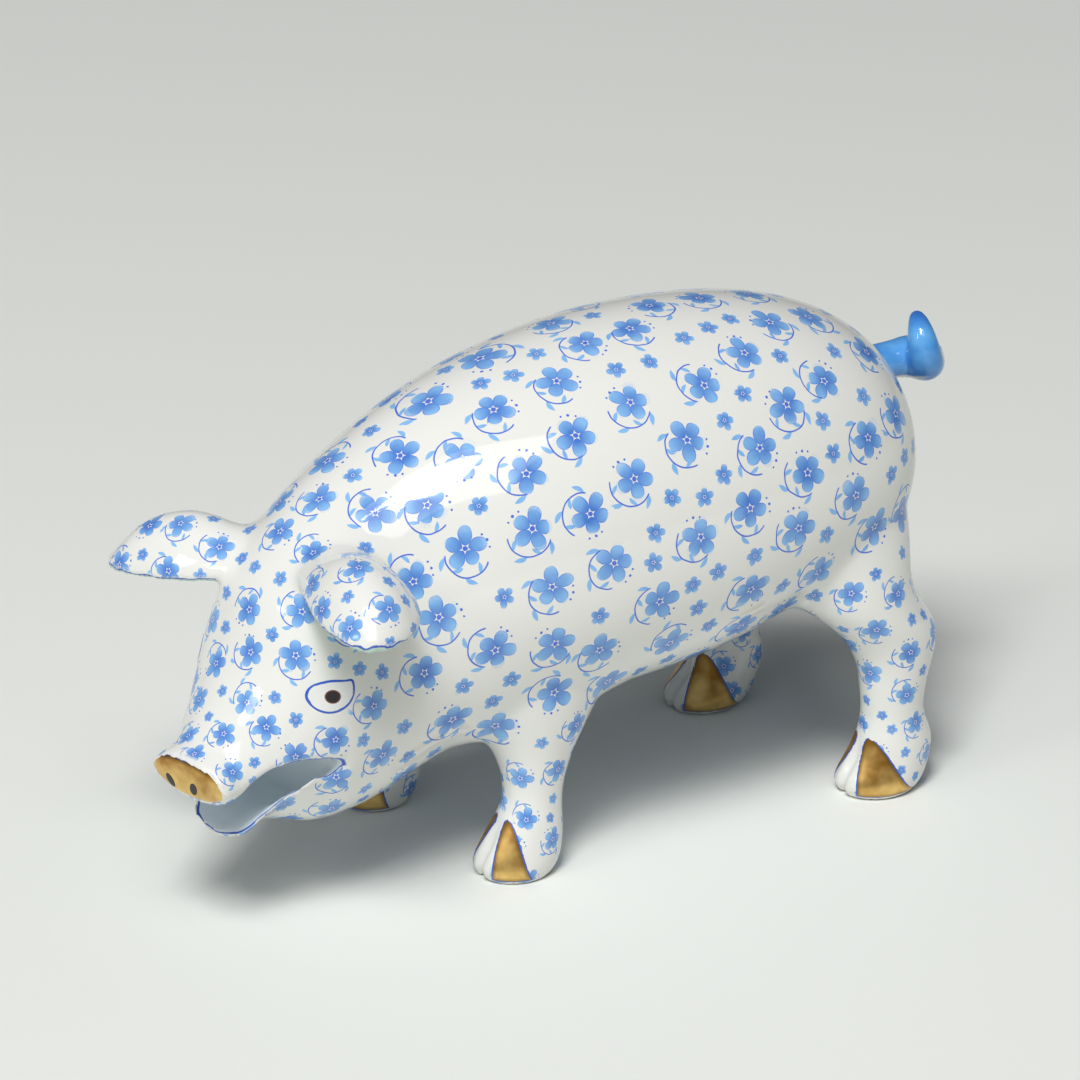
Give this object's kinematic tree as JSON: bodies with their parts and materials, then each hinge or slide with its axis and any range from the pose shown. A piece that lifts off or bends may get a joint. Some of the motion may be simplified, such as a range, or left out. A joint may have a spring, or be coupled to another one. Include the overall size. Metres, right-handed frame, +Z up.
{
  "type": "pig figurine",
  "caption": "Hand-painted porcelain pig standing with its head lowered and mouth open, white glaze with blue painting, gilded snout and hooves, and a blue curled tail.",
  "frame": {"origin": "on the ground, under the middle of the figure's bounding box", "axes": "+Z up, -X the way the pig's body points, -Y its left side, towards which it turns its head"},
  "size_m": [0.131, 0.0566, 0.0722],
  "materials": {
    "porcelain": "gloss",
    "blue_glaze": "gloss",
    "mouth_glaze": "gloss",
    "gilding": "satin",
    "dark_enamel": "gloss"
  },
  "bodies": {
    "root": {"trunk_shell": "porcelain", "head_shell": "porcelain", "lower_jaw": "mouth_glaze", "leg_front_left": "porcelain", "leg_front_right": "porcelain", "leg_rear_left": "porcelain", "leg_rear_right": "porcelain", "ear_left": "porcelain", "ear_right": "porcelain", "tail_curl": "blue_glaze", "snout_gilding": "gilding", "hoof_gilding_front_left": "gilding", "hoof_gilding_front_right": "gilding", "hoof_gilding_rear_left": "gilding", "hoof_gilding_rear_right": "gilding", "nostril_enamel": "dark_enamel", "eye_enamel_left": "dark_enamel", "eye_enamel_right": "dark_enamel"}
  },
  "joints": []
}
